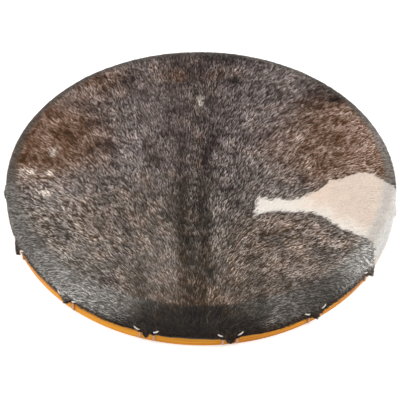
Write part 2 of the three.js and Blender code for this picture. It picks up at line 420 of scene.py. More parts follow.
def hide_section():
    """The hair side of the drawn hide in section: rows of run along the skin, radius, height and lean."""
    shoulder_x = HOOP_RADIUS - SHOULDER_RADIUS
    shoulder_z = outer_top - SHOULDER_RADIUS / math.tan((math.pi / 2 + BEVEL) / 2)
    bends = [
        (bearing_centre.x, bearing_centre.z, BEARING_EDGE_RADIUS, np.linspace(0, BEVEL, BEARING_ROWS)),
        (shoulder_x, shoulder_z, SHOULDER_RADIUS, np.linspace(BEVEL, math.pi / 2, SHOULDER_ROWS)),
    ]
    rows = [(0.0, HOOP_HEIGHT + hide_face, 0.0)]
    for x, z, radius, leans in bends:
        reach = radius + hide_face
        rows += [(x + reach * math.sin(lean), z + reach * math.cos(lean), lean) for lean in leans]
    rows.append((HOOP_RADIUS + hide_face, -HOOP_HEIGHT, math.pi / 2))
    rows = np.array(rows)
    steps = np.hypot(np.diff(rows[:, 0]), np.diff(rows[:, 1]))
    return np.column_stack([np.concatenate([[0], np.cumsum(steps)]), rows])


section_run, section_radius, section_height, section_lean = hide_section().T
wall_run = section_run[-2]
wall_top = section_height[-2]


def nearest_lacing(azimuth):
    """The number of the nearest lacing point, and the distance from it round the rim."""
    turn = (np.asarray(azimuth)[:, None] - lacing_azimuths[None, :] + math.pi) % (2 * math.pi) - math.pi
    nearest = np.abs(turn).argmin(axis=1)
    return nearest, turn[np.arange(len(turn)), nearest] * (HOOP_RADIUS + hide_face)


def tuft_swell(azimuth, height):
    """How far the pinched skin stands out from the rest of the hide's side."""
    nearest, across = nearest_lacing(azimuth)
    breadth = TUFT_BREADTHS[nearest]
    width = np.interp(height, TUFT_HEIGHTS, TUFT_WIDTHS) * breadth
    swell = np.interp(height, TUFT_HEIGHTS, TUFT_SWELLS)
    swell = swell * (SLIM_TUFT_SWELL + (1 - SLIM_TUFT_SWELL) * breadth)
    share = np.clip(1 - (2 * across / width) ** 2, 0, 1)
    pleat = TUFT_PLEAT_DEPTH * np.cos(2 * math.pi * across / TUFT_PLEAT)
    pinched = swell * share ** TUFT_ROUNDNESS + pleat * share * swell / TUFT_SWELLS.max()
    beside = np.clip(1 - ((np.abs(across) - LEG_SPACING / 2) / LEG_BULGE) ** 2, 0, 1)
    under = np.interp(height, LEG_COVER, (1, 0))
    return np.maximum(pinched, THONG_THICKNESS * beside ** 0.5 * under)


def hem_height(azimuth):
    """How far down the hide reaches: uneven between the tufts, and nearly to the back edge at them."""
    azimuth = np.asarray(azimuth)
    waves = sum(size * np.sin(count * azimuth + start) for count, start, size in HEM_WAVES)
    level = HEM_HEIGHT - HEM_SWING * np.cos(2 * (azimuth - HEM_SWING_TURN))
    level += HEM_RAGGEDNESS * waves / sum(size for _, _, size in HEM_WAVES)
    nearest, across = nearest_lacing(azimuth)
    tip = TUFT_TIPS[nearest]
    start, end = TUFT_FLANK
    share = np.clip((np.abs(across) / TUFT_BREADTHS[nearest] - start) / (end - start), 0, 1)
    share = share * share * (3 - 2 * share)
    return tip + (level - tip) * share


def hem_run(azimuth):
    """The same along the skin, from the middle of the head."""
    return wall_run + wall_top - hem_height(azimuth)


def run_and_azimuth(flat):
    """How far points of the flat round of hide are from its middle, and in which direction."""
    return np.hypot(flat[:, 0], flat[:, 1]), np.arctan2(flat[:, 1], flat[:, 0])


def over_hoop(flat, lift=0.0):
    """Where points of the flat round of hide come to lie on the hoop, at a lift above the hair side."""
    run, azimuth = run_and_azimuth(flat)
    lean = np.interp(run, section_run, section_lean)
    height = np.interp(run, section_run, section_height) + lift * np.cos(lean)
    radius = np.interp(run, section_run, section_radius) + lift * np.sin(lean)
    radius = radius + tuft_swell(azimuth, height)
    return np.column_stack([radius * np.cos(azimuth), radius * np.sin(azimuth), height])


# The flat round is a fan with rings extruded from its rim, close together where the skin bends.
bevel_start, bevel_end = section_run[BEARING_ROWS:BEARING_ROWS + 2]
bend_rings = list(section_run[1:-1]) + [bevel_start + (bevel_end - bevel_start) / 2]
wall_rings = [wall_run + share * WALL_DEPTH for share in np.linspace(0, 1, WALL_RINGS + 1)[1:]]
hide_rings = sorted(HEAD_RINGS + bend_rings + wall_rings)
select()
bpy.ops.mesh.primitive_circle_add(
    vertices=HIDE_COLUMNS * LACING_COUNT, radius=hide_rings[0], fill_type="TRIFAN"
)
hide = bpy.context.object
hide.name = "hair_side_hide"
edit(hide)
bpy.ops.mesh.select_non_manifold()
for inner, outer in zip(hide_rings, hide_rings[1:]):
    bpy.ops.mesh.extrude_region_move()
    bpy.ops.transform.resize(value=(outer / inner, outer / inner, 1))
face_outwards()

# Its columns crowd towards the tufts, and its outer rings stretch to the hem.
crowded = [(-column, -reach) for column, reach in COLUMN_PLACES[:0:-1]] + COLUMN_PLACES
turns = []
for i, azimuth in enumerate(np.sort(lacing_azimuths)):
    for column, reach in crowded:
        even = (i * HIDE_COLUMNS + column) * 2 * math.pi / HIDE_COLUMNS / LACING_COUNT
        turns.append((even, azimuth + reach / (HOOP_RADIUS + hide_face)))
turns = np.array(turns)
even_turns, real_turns = np.vstack([turns - 2 * math.pi, turns, turns + 2 * math.pi]).T

places = np.zeros(3 * len(hide.data.vertices))
hide.data.vertices.foreach_get("co", places)
places = places.reshape(-1, 3)
runs, azimuths = run_and_azimuth(places)
azimuths = np.interp(azimuths, even_turns, real_turns)
on_wall = np.clip((runs - wall_run) / (hide_rings[-1] - wall_run), 0, 1)
runs = np.where(on_wall > 0, wall_run + on_wall * (hem_run(azimuths) - wall_run), runs)
hide_flat = np.column_stack([runs * np.cos(azimuths), runs * np.sin(azimuths)])
hide.data.vertices.foreach_set("co", over_hoop(hide_flat).ravel())


def note(mesh, name, values):
    """Writes a number or a vector for each point of a mesh, for its material to read."""
    kind, field = ("FLOAT", "value") if values.ndim == 1 else ("FLOAT_VECTOR", "vector")
    mesh.attributes.new(name, kind, "POINT").data.foreach_set(field, values.ravel())


# A point of the coat has its place on the flat hide and its lock's tone, then how far it is along its
# hair, the hair's tone and its run along the skin, and its distance from the hem.
halves = np.full(len(hide_flat), 0.5)
note(hide.data, "coat_place", np.column_stack([hide_flat, halves]))
note(hide.data, "hair_place", np.column_stack([np.zeros(len(hide_flat)), halves, runs]))
note(hide.data, "hem_gap", hem_run(azimuths) - runs)

GREY_HAIR = paint(142, 129, 123)
BROWN_HAIR = paint(158, 120, 92)
# Grey of the painted sheen and shade down the side.
SIDE_SHEEN_HAIR = paint(142, 138, 132)
DARK_STRIPE_AND_SHADE_HAIR = paint(33, 31, 30)
# Painted shade for the hair low on the side and over the tufts.
LOW_SHADE_HAIR = paint(58, 46, 40)
CREAM_HAIR = paint(250, 232, 217)
WHITE_HAIR = paint(254, 249, 242)
SPOT_HAIR = paint(255, 226, 200)
RIM_CREAM_HAIR = paint(243, 228, 215)
# Cream with painted shade over the bevel, and with painted light on the side wall.
BEVEL_SHADE_CREAM_HAIR = paint(229, 222, 215)
SIDE_LIT_CREAM_HAIR = paint(252, 250, 247)

# The coat's noises, broad, mottled, fine and of its cast: scale, detail and roughness.
COAT_NOISES = [(9.0, 3.0, 0.55), (38.0, 3.0, 0.6), (130.0, 2.0, 0.5), (56.0, 2.0, 0.5)]

# Its markings are ovals on the flat hide: the middle's x and y, the reach along each, and the strength.
BROWN_ZONES = [
    (-0.22, 0.055, 0.15, 0.13, 1.2), (0.195, 0.05, 0.16, 0.135, 1.35),
    (0.02, -0.215, 0.14, 0.08, 0.22), (0.11, -0.12, 0.14, 0.09, 0.42),
    (-0.14, 0.17, 0.08, 0.06, 0.5), (-0.034, 0.185, 0.05, 0.03, 0.4),
    (0.03, 0.185, 0.05, 0.03, 0.3), (-0.13, -0.09, 0.13, 0.10, 0.28),
    (-0.05, 0.06, 0.06, 0.14, -0.3),
]
LEVEL_ZONES = [
    (-0.19, -0.045, 0.09, 0.07, 0.42), (-0.16, -0.15, 0.10, 0.08, 0.47),
    (0.225, 0.06, 0.065, 0.11, 0.42), (0.155, -0.14, 0.10, 0.07, 0.42),
    (-0.16, 0.06, 0.08, 0.07, -0.3), (0.160, 0.153, 0.06, 0.05, -0.5),
    (0.0, 0.235, 0.10, 0.05, -0.4), (0.02, -0.225, 0.16, 0.06, -0.22),
    (-0.14, 0.175, 0.07, 0.05, -0.3), (-0.04, -0.16, 0.05, 0.08, 0.3),
    (-0.088, 0.035, 0.026, 0.10, 0.35), (-0.062, 0.03, 0.025, 0.05, -0.2),
    (0.021, -0.125, 0.018, 0.06, 0.2), (0.10, 0.005, 0.055, 0.04, 0.24),
]
# The painted sheen and shade down the side is lighter or darker in these ovals.
SIDE_SHEEN_ZONES = [
    (-0.17, -0.22, 0.12, 0.10, 1.1), (0.16, -0.22, 0.10, 0.08, -0.68),
    (0.235, -0.15, 0.09, 0.10, 2.0), (-0.26, -0.025, 0.07, 0.07, -0.1),
    (0.24, 0.07, 0.08, 0.12, 0.85),
]
PALE_SPOTS = [
    (-0.190, 0.029, 0.007, 0.011, 0.9), (-0.220, -0.009, 0.016, 0.012, 0.8),
    (-0.192, -0.010, 0.008, 0.007, 0.95), (-0.193, -0.045, 0.014, 0.011, 0.6),
    (-0.003, 0.134, 0.007, 0.017, 0.6),
]
SPOT_FULL = 0.3
# The front of the side is dark: partly a dark stripe of the coat, partly painted shade.
FRONT_STRIPE_AND_SHADE_ZONE = (0.0, -0.28, 0.15, 0.1)
FRONT_STRIPE_AND_SHADE_FULL = 0.45

# The dark spine bends at the front, with a darker stripe on each side of its middle.
SPINE_X = -0.011
SPINE_BEND = 0.006
SPINE_HALF_WIDTH = 0.027
SPINE_WIDENING = 0.06
SPINE_EDGE = (1.5, 0.6)
SPINE_DARKNESS = 0.31
SPINE_FRONT_DARKNESS = 0.16
STRIPE_OFFSET = 0.0135
STRIPE_EDGE = (0.010, 0.001)
STRIPE_DARKNESS = 0.45
SCAR_START = (-0.184, -0.049)
SCAR_WAY = (0.53, -0.85)
SCAR_EDGE = (0.0022, 0.0006)
SCAR_LEVEL = 0.5

# A painted sheen and shade turns the coat grey down the side: at the middle, what the flanks add, and what
# their rear adds.
SIDE_SHEEN_START = (0.2278, -0.004, 0.008)
SIDE_SHEEN_END = (0.2318, 0.010, -0.003)
SIDE_SHEEN_WANDER = (0.004, 0.02, -0.008)
RUN_WANDER = 0.01
# Painted shade low on the side and over the tufts: the runs it fades in over, and how strong it is.
LOW_SHADE_RUN = (0.264, 0.275)
LOW_SHADE_SHARE = 0.8
# How far the painted shade along the hem darkens the coat.
HEM_SHADE_SHARE = 0.85

# The pale patch lies between two curves on the flat hide, and ends bluntly towards the spine.
PATCH_X = (0.055, 0.30)
PATCH_Y = (-0.18, 0.03)
PATCH_TOP = [
    (0.055, -0.0613), (0.069, -0.0478), (0.086, -0.0515), (0.097, -0.0485), (0.113, -0.0515),
    (0.125, -0.0460), (0.157, -0.0225), (0.163, -0.0130), (0.171, -0.0140), (0.1865, -0.0060),
    (0.202, 0.0008), (0.2095, 0.0012), (0.236, -0.0153), (0.300, -0.0193),
]
PATCH_FOOT = [
    (0.055, -0.0828), (0.066, -0.0803), (0.090, -0.0728), (0.112, -0.0718), (0.138, -0.0748),
    (0.152, -0.0808), (0.164, -0.0933), (0.193, -0.1118), (0.206, -0.1178), (0.215, -0.1283),
    (0.300, -0.1788),
]
PATCH_EDGE = (-0.001, 0.0015)
PATCH_LOCKS = 0.005
PATCH_FRAY = 0.004
PATCH_END_X = (0.0685, 0.0710)
PATCH_END_Y = -0.05
PATCH_END_SLANT = 0.15
WHITE_FOOT = (0.036, 0.004)
WHITE_FOOT_SHARE = 0.75
WHITE_TAIL_X = (0.16, 0.085)
WHITE_TAIL_SHARE = 0.8


def coat_colour(shade):
    """The colour of the coat at a place on the flat hide, and how far the place is inside the patch."""
    place = shade.attribute("coat_place")
    run = shade.attribute("hair_place").parts()[2]
    x, y, lock = place.parts()
    broad, mottle, fine, cast = [place.noise(*sizes, flat=True) - 0.5 for sizes in COAT_NOISES]

    def zone(middle_x, middle_y, reach_x, reach_y, full=0.0):
        """1 inside an oval zone of the coat, fading to 0 at its reach."""
        east = (x - middle_x) / reach_x
        north = (y - middle_y) / reach_y
        away = (east * east + north * north).root()
        return (away + broad * 0.5 + mottle * 0.35).step(1.0, full)

    def with_zones(value, zones):
        for *oval, share in zones:
            value = value + zone(*oval) * share
        return value

    brown = with_zones(0.12 + mottle * 1.3 + broad * 0.4, BROWN_ZONES)
    colour = brown.step(0.0, 1.0).mix(GREY_HAIR, BROWN_HAIR)
    green = 0.98 + 0.065 * y.step(0.06, -0.12) + cast * 0.1
    tint = shade.vector(1, green, 1)
    colour = shade.node("VectorMath", {"operation": "MULTIPLY"}, {0: colour, 1: tint})

    level = with_zones(1.0 + fine * 1.3 + mottle * 2.1 + broad * 0.5, LEVEL_ZONES)
    bend = SPINE_BEND * y.step(-0.06, -0.18)
    from_spine = abs(x - SPINE_X - bend + broad * 0.012 + mottle * 0.014)
    grit = 1 - fine * 1.6 - mottle * 0.8
    darkness = SPINE_DARKNESS + SPINE_FRONT_DARKNESS * y.step(-0.03, -0.09)
    band = (from_spine / (SPINE_HALF_WIDTH + SPINE_WIDENING * y)).step(*SPINE_EDGE) * darkness
    stripe = abs(from_spine - STRIPE_OFFSET).step(*STRIPE_EDGE) * STRIPE_DARKNESS
    stripe = stripe * y.step(0.08, 0.02) * y.step(-0.22, -0.14)
    level = level * (1 - band * grit) * (1 - stripe * grit)
    east = x - SCAR_START[0]
    north = y - SCAR_START[1]
    along = east * SCAR_WAY[0] + north * SCAR_WAY[1]
    beside = east * SCAR_WAY[1] - north * SCAR_WAY[0]
    scar = abs(beside + mottle * 0.006).step(*SCAR_EDGE)
    scar = scar * along.step(0.0, 0.01) * along.step(0.09, 0.07)
    colour = shade.scale(colour, level + scar * SCAR_LEVEL)

    flank = abs(x).step(0.05, 0.16)
    near = y.step(0.05, -0.07)
    rear = flank * (1 - near)

    def round_side(middle, at_flank, at_rear):
        return middle + at_flank * flank + at_rear * rear

    # Painted sheen and shade grey the coat down the side, most towards the front.
    side = run + mottle * round_side(*SIDE_SHEEN_WANDER)
    side = side.step(round_side(*SIDE_SHEEN_START), round_side(*SIDE_SHEEN_END)) * (0.5 + 0.38 * near + 0.38 * rear)
    side_sheen_hair = shade.scale(SIDE_SHEEN_HAIR[:3], with_zones(0.48 + 0.66 * near, SIDE_SHEEN_ZONES))
    # At the front the side turns dark, partly a dark stripe of the coat and partly painted shade.
    front = zone(*FRONT_STRIPE_AND_SHADE_ZONE, FRONT_STRIPE_AND_SHADE_FULL) * (0.95 + fine * 0.45)
    colour = side.mix(colour, front.mix(side_sheen_hair, DARK_STRIPE_AND_SHADE_HAIR))
    ragged_run = run + mottle * RUN_WANDER
    # Painted shade darkens the hair low on the side and over the tufts.
    colour = (ragged_run.step(*LOW_SHADE_RUN) * LOW_SHADE_SHARE).mix(colour, LOW_SHADE_HAIR)
    # Painted shade along the hem, where the hide's edge stands off the wood.
    hem_shade = shade.attribute("hem_gap", "Fac").step(0.0048, 0.0022)
    colour = (hem_shade * HEM_SHADE_SHARE).mix(colour, DARK_STRIPE_AND_SHADE_HAIR)
    for *oval, share in PALE_SPOTS:
        colour = (zone(*oval, SPOT_FULL) * share).mix(colour, SPOT_HAIR)

    low_x, low_y = PATCH_X[0], PATCH_Y[0]
    length = PATCH_X[1] - low_x
    rise = PATCH_Y[1] - low_y
    share = (x - low_x) / length

    def side_of_patch(points):
        """The height of one of the patch's two sides, here along it."""
        curve = [((px - low_x) / length, (py - low_y) / rise) for px, py in points]
        return shade.node("FloatCurve", {"curve": curve}, {"Value": share}) * rise + low_y

    fray = (lock - 0.5) * PATCH_LOCKS + fine * PATCH_FRAY
    from_foot = y - side_of_patch(PATCH_FOOT)
    above_foot = (from_foot + fray).step(*PATCH_EDGE)
    below_top = (side_of_patch(PATCH_TOP) - y + fray).step(*PATCH_EDGE)
    blunt_end = (x + fray - PATCH_END_SLANT * (y - PATCH_END_Y)).step(*PATCH_END_X)
    patch = below_top * above_foot * blunt_end
    cream = x.step(0.12, 0.2).mix(CREAM_HAIR, RIM_CREAM_HAIR)
    white = (from_foot + mottle * 0.04 + fine * 0.03).step(*WHITE_FOOT) * WHITE_FOOT_SHARE
    white = white + (1 - white) * (x + mottle * 0.05).step(*WHITE_TAIL_X) * WHITE_TAIL_SHARE
    cream = white.mix(cream, WHITE_HAIR)
    # Painted shade greys the cream over the bevel, and painted light brightens it down the side wall.
    lit_and_shaded_side_cream = ragged_run.step(0.240, 0.255).mix(BEVEL_SHADE_CREAM_HAIR, SIDE_LIT_CREAM_HAIR)
    cream = run.step(0.226, 0.235).mix(cream, lit_and_shaded_side_cream)
    return patch.mix(colour, cream), patch


MIDDLE_TONE = 0.24
TONE_POWER = -0.65
SATURATIONS = (0.4, 1.9)
# How dark the painted shade between the hairs leaves the coat's colour, and how much lighter it stays in
# the patch.
SKIN_SHADE_LEVEL = 0.48
PATCH_SKIN_LEVEL = 0.35


def by_tone(colour, level, patch):
    """A colour of the coat at a tone: browner where dark and greyer where pale, but not in the patch."""
    shown = colour.scale(colour, level)
    depth = colour.sum("POWER", shown.parts()[0] / MIDDLE_TONE, TONE_POWER)
    depth = colour.node("Clamp", {}, {"Value": depth, "Min": SATURATIONS[0], "Max": SATURATIONS[1]})
    return colour.node("HueSaturation", {}, {"Saturation": depth + patch * (1 - depth), "Color": shown})


def skin_finish():
    """The skin between the hairs: the coat's colour, darkened as painted shade between the hairs, and matt.
    """
    material, shade = new_finish("coat_skin")
    colour, patch = coat_colour(shade)
    shaded_skin = by_tone(colour, SKIN_SHADE_LEVEL + patch * PATCH_SKIN_LEVEL, patch)
    shade.surface({"Base Color": shaded_skin, "Roughness": 0.75})
    return material


DARK_FLESH = paint(190, 160, 124)
PALE_FLESH = paint(222, 202, 170)
VEIN = paint(158, 122, 88)
SPECK = paint(140, 108, 80)


def flesh_finish():
    """The scraped flesh side: pale, cloudy, faintly veined, with the coat's pattern showing through."""
    material, shade = new_finish("flesh_side")
    place = shade.node("TexCoord", {}, {}, "Object")
    cloud = place.noise(14.0, 4.0, 0.6)
    vein = abs(place.noise(26.0, 3.0, 0.5) - 0.5).step(0.03, 0.0)
    speck = place.noise(420.0, 2.0).step(0.62, 0.72)
    colour = cloud.step(0.3, 0.7).mix(DARK_FLESH, PALE_FLESH)
    colour = (vein * 0.3).mix(colour, VEIN)
    colour = (speck * 0.35).mix(colour, SPECK)
    colour = (0.34 - 0.12 * cloud).mix(colour, coat_colour(shade)[0])
    bump = shade.bump(cloud + vein * 0.4, 0.25, 0.0006)
    shade.surface({"Base Color": colour, "Roughness": 0.5 + cloud * 0.2, "Normal": bump})
    return material


dress(hide, skin_finish(), flesh_finish())
thickness = hide.modifiers.new("thickness", "SOLIDIFY")
thickness.thickness = SKIN_THICKNESS
thickness.offset = -1
thickness.material_offset = 1
thickness.material_offset_rim = 1
bpy.ops.object.modifier_apply(modifier=thickness.name)
bpy.ops.object.shade_smooth()
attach(hide, "root")
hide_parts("hide")

# Coat
# The animal's short hair, left on. It lies flat, away from the spine and towards the far side, in long
# narrow locks, from fine underwool to longer guard hairs. It is rubbed away where the thongs come out of
# the skin.
HAIR_LAYERS = 9
ROOT_STEP = 0.00123
HEM_MARGIN = 0.0004
LOCK_SPACING = 0.0024
LOCK_STRETCH = 4.0
LOCK_CHOICES = 12
LOCK_PULL = 0.5
LOCK_WANDER = 0.35
LOCK_WANDER_SCALE = 30
LOCK_SCATTER = 0.14
HAIR_LENGTHS = (0.0030, 0.0052)
HAIR_LENGTH_SPREAD = (0.85, 1.15)
HAIR_LIFTS = (0.0007, 0.0019)
HAIR_LIFT_SPREAD = (0.75, 1.25)
HAIR_SCATTER = 0.1
HAIR_BEND = 0.05
GUARD_SHARE = 0.03
GUARD_LENGTH = 1.6
HAIR_WIDTH = 0.00045
HAIR_THICKNESS = 0.00035
ROOT_DEPTH = 0.0002
MIDDLE_LIFT = 0.7
LIFT_PROBE = 0.001
LEFT_LIE = math.radians(70)
RIGHT_LIE = math.radians(75)
LEFT_SOFTNESS = 0.2
RIGHT_SOFTNESS = 0.13
FRONT_TURN = math.radians(22)
FRONT_REACH = 0.12
FRONT_PARTING = 0.05
FRINGE = 0.004
LOWEST_HAIR = 0.0015
RUBBED_REACH = 0.0014
LACE_MARK = np.array([(0.0098, 0.0208), (0.0134, 0.0229)])
chance = np.random.default_rng(11)


def scatter(step):
    """Places on the flat round, about a step apart."""
    count = int(2 * hem_run(lacing_azimuths).max() / step) + 1
    cells = np.indices((count, count)).reshape(2, -1).T + chance.random((count * count, 2))
    spots = (cells - count / 2) * step
    run, azimuth = run_and_azimuth(spots)
    return spots[run < hem_run(azimuth) - HEM_MARGIN]


def lie(spots, wander):
    """The direction the hair lies in, as unit steps on the flat hide."""
    x, y = spots.T
    left = LEFT_LIE * np.tanh(x / LEFT_SOFTNESS)
    right = RIGHT_LIE * np.tanh(x / RIGHT_SOFTNESS)
    front = FRONT_TURN * np.clip(-y / FRONT_REACH, 0, 1) * np.tanh(x / FRONT_PARTING)
    turn = np.where(x < 0, left, right) + front + wander
    return np.column_stack([np.sin(turn), np.cos(turn)])


def clear_of_lacing(spots):
    """Whether points of the hide are clear of the thongs that lie on it."""
    run, azimuth = run_and_azimuth(spots)
    here = np.column_stack([np.abs(nearest_lacing(azimuth)[1]), wall_top - (run - wall_run)])
    start, end = LACE_MARK
    along = np.clip((here - start) @ (end - start) / ((end - start) @ (end - start)), 0, 1)
    return np.linalg.norm(here - start - along[:, None] * (end - start), axis=1) > RUBBED_REACH


def trimmed(spots):
    """Points of the hide, those past its hem drawn back to the fringe."""
    run, azimuth = run_and_azimuth(spots)
    furthest = np.minimum(hem_run(azimuth) + FRINGE, wall_run + wall_top - LOWEST_HAIR)
    return spots * np.minimum(1, furthest / run)[:, None]


locks = scatter(LOCK_SPACING)
lock_tree = kdtree.KDTree(len(locks))
for i, (lock_x, lock_y) in enumerate(locks):
    lock_tree.insert((lock_x, lock_y, 0), i)
lock_tree.balance()
lock_noise = [noise.noise((LOCK_WANDER_SCALE * lx, LOCK_WANDER_SCALE * ly, 0)) for lx, ly in locks]
lock_wander = LOCK_WANDER * np.array(lock_noise)
lock_wander += chance.normal(0, LOCK_SCATTER, len(locks))
lock_tone = chance.random(len(locks))
lock_lie = lie(locks, lock_wander)

roots = scatter(ROOT_STEP)
roots = roots[clear_of_lacing(roots)]
chance.shuffle(roots)
hair_count = len(roots)

# A hair joins the lock that is nearest, where distance along the lie counts for less.
found = [lock_tree.find_n((root_x, root_y, 0), LOCK_CHOICES) for root_x, root_y in roots]
choices = np.array([[i for _, i, _ in nearest] for nearest in found])
offsets = locks[choices] - roots[:, None, :]
heading = lie(roots, 0)[:, None, :]
along = (offsets * heading).sum(axis=2)
aside = offsets[:, :, 0] * heading[:, :, 1] - offsets[:, :, 1] * heading[:, :, 0]
best = np.hypot(along / LOCK_STRETCH, aside).argmin(axis=1)
lock_of = choices[np.arange(hair_count), best]

layer_of = np.arange(hair_count) % HAIR_LAYERS
depth = layer_of / (HAIR_LAYERS - 1)
length = np.interp(depth, (0, 1), HAIR_LENGTHS) * chance.uniform(*HAIR_LENGTH_SPREAD, hair_count)
guard = chance.random(hair_count) < GUARD_SHARE * depth
length = np.where(guard, GUARD_LENGTH * length, length)
lift = np.interp(depth, (0, 1), HAIR_LIFTS) * chance.uniform(*HAIR_LIFT_SPREAD, hair_count)
direction = lie(roots, lock_wander[lock_of] + chance.normal(0, HAIR_SCATTER, hair_count))
tips = roots + direction * length[:, None]
pull = locks[lock_of] + lock_lie[lock_of] * length[:, None] - tips
pull -= (pull * direction).sum(axis=1)[:, None] * direction
tips = trimmed(tips + LOCK_PULL * pull)
bend = HAIR_BEND * length[:, None] * chance.normal(0, 1, (hair_count, 2))
middles = trimmed(roots + 0.5 * (tips - roots) + bend)
kept = clear_of_lacing(tips) & clear_of_lacing(middles)
hair_tone = np.where(guard, 1, chance.random(hair_count))


def unit(vectors):
    return vectors / np.linalg.norm(vectors, axis=1)[:, None]


def across_hair(start, end):
    """The half width of hairs at one of their points, along the hide."""
    ahead = over_hoop(end) - over_hoop(start)
    up = over_hoop(start, LIFT_PROBE) - over_hoop(start)
    return unit(np.cross(ahead, up)) * HAIR_WIDTH / 2


# A hair is a blade of three sides: three points at its root, three at its middle and its tip.
HAIR_FACES = [(1, 4, 3, 0), (2, 5, 4, 1), (0, 3, 5, 2), (4, 6, 3), (5, 6, 4), (3, 6, 5), (2, 1, 0)]
HAIR_MAP = [(0.1, 0.1), (0.5, 0.04), (0.9, 0.1), (0.1, 0.5), (0.5, 0.5), (0.9, 0.5), (0.5, 0.95)]
HAIR_STATIONS = np.array([0, 0, 0, 1, 1, 1, 2])


def grow(layer, finish):
    """One layer of the coat, as a piece."""
    mine = kept & (layer_of == layer)
    root, middle, tip, high = roots[mine], middles[mine], tips[mine], lift[mine]
    count = len(root)
    size = len(HAIR_MAP)
    at_root = over_hoop(root, -ROOT_DEPTH)
    at_middle = over_hoop(middle, MIDDLE_LIFT * high)
    root_half = across_hair(root, middle)
    middle_half = across_hair(middle, tip)
    blade = [
        at_root - root_half,
        over_hoop(root, HAIR_THICKNESS),
        at_root + root_half,
        at_middle - middle_half,
        over_hoop(middle, MIDDLE_LIFT * high + HAIR_THICKNESS),
        at_middle + middle_half,
        over_hoop(tip, high),
    ]
    corners = np.concatenate([np.array(face) for face in HAIR_FACES])
    sizes = np.tile([len(face) for face in HAIR_FACES], count)
    loops = (np.arange(count)[:, None] * size + corners[None, :]).ravel()
    mesh = bpy.data.meshes.new(f"hair_{layer + 1}")
    mesh.vertices.add(count * size)
    mesh.vertices.foreach_set("co", np.stack(blade, axis=1).ravel())
    mesh.loops.add(len(loops))
    mesh.loops.foreach_set("vertex_index", loops)
    mesh.polygons.add(len(sizes))
    mesh.polygons.foreach_set("loop_start", np.cumsum(sizes) - sizes)
    mesh.update(calc_edges=True)
    run = np.column_stack([np.hypot(*spots.T) for spots in (root, middle, tip)])
    along = np.tile(HAIR_STATIONS / 2, count)
    tone = np.repeat(hair_tone[mine], size)
    hem_gap = hem_run(run_and_azimuth(root)[1]) - run[:, 0]
    coat_place = np.column_stack([root, lock_tone[lock_of[mine]]])
    note(mesh, "coat_place", np.repeat(coat_place, size, axis=0))
    note(mesh, "hair_place", np.column_stack([along, tone, run[:, HAIR_STATIONS].ravel()]))
    note(mesh, "hem_gap", np.repeat(hem_gap, size))
    row = math.ceil(math.sqrt(count))
    cell = np.column_stack([np.arange(count) % row, np.arange(count) // row])
    spread = (cell[:, None, :] + np.array(HAIR_MAP)[None, corners, :]) / row
    mesh.uv_layers.new(name="OFBake").uv.foreach_set("vector", spread.ravel())
    hair = add_object(mesh.name, mesh)
    dress(hair, finish)
    return hair


SIDE_CALM = 0.28
FRONT_CALM = 0.2
SPINE_CALM = 0.2
SPINE_CALM_X = -0.05
BROWN_CALM = 0.24
CALM_TONE = 0.78


def hair_finish():
    """Hair in the coat's colour: each lock and hair has its own tone, dark at the root, paler at the tip,
    and calmer down the side, at the front, left of the spine and in the brown of the flanks."""
    material, shade = new_finish("coat_hair")
    colour, patch = coat_colour(shade)
    x, y, lock = shade.attribute("coat_place").parts()
    along, tone, run = shade.attribute("hair_place").parts()
    dark = (0.2 + lock.step(0.0, 0.65)) * (0.06 + 2.22 * tone.step(0.40, 0.60)) * (0.38 + 0.82 * along)
    on_side = run.step(0.226, 0.24)
    calm = SIDE_CALM * on_side + FRONT_CALM * y.step(-0.1, -0.18) * (1 - on_side)
    calm = calm + SPINE_CALM * abs(x - SPINE_CALM_X).step(0.045, 0.02)
    calm = calm + BROWN_CALM * abs(x).step(0.1, 0.19) * y.step(-0.05, 0.02)
    dark = dark + calm * (CALM_TONE - dark)
    pale = (0.86 + 0.12 * lock + 0.10 * tone) * (0.94 + 0.08 * along)
    shown = by_tone(colour, dark + patch * (pale - dark), patch)
    shade.surface({"Base Color": shown, "Roughness": 0.52, "Specular IOR Level": 0.3})
    return material


coat_hair = hair_finish()
for layer in range(HAIR_LAYERS):
    hair = grow(layer, coat_hair)
    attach(hair, "root")

# Thongs
# Narrow strips of rawhide, cut round and round from one skin and twisted while wet. Each loops round the
# grip ring, goes out under the hoop in two notches and up the wood under the hem, and is drawn narrow
# through the hide on both sides of a tuft, behind which it passes. Its ends are knotted near the ring.
THONG_WIDTH = 0.003
THONG_SIDES = 12
THONG_STEP = 0.003
THONG_SMOOTHING = math.radians(60)
BREADTH_WANDER = 0.14
BREADTH_WANDER_SCALE = 85
LEG_TOP = 0.0180
STITCH_SHARE = 0.6
STITCH_HEIGHT = 0.0205
HOLE_HEIGHT = 0.0235
RING_RADIUS = 0.042
RING_SECTION = 0.0055
RING_HEIGHT = (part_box("grip_ring")[0].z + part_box("grip_ring")[1].z) / 2
RING_LEG_SPACING = 0.006
WRAP_TURNS = np.radians(np.arange(90, 271, 20)).tolist()
KNOT_PLACE = 0.072
KNOT_START = 0.6
KNOT_TURNS = 2.5
KNOT_STEPS = 12
KNOT_LENGTH = 0.0075
KNOT_RADIUS = 0.0027
TAIL_LENGTH = 0.012
UP = Vector((0, 0, 1))
OUT = Vector((1, 0, 0))
thong_half = THONG_THICKNESS / 2
thong_below = NOTCH_DEPTH - SEAT_GAP - thong_half
wrap_radius = RING_SECTION + SEAT_GAP + thong_half
on_wood = HOOP_RADIUS + SEAT_GAP + thong_half
on_hide = HOOP_RADIUS + hide_face + SEAT_GAP + thong_half
behind_hide = HOOP_RADIUS + SEAT_GAP / 2 + thong_half

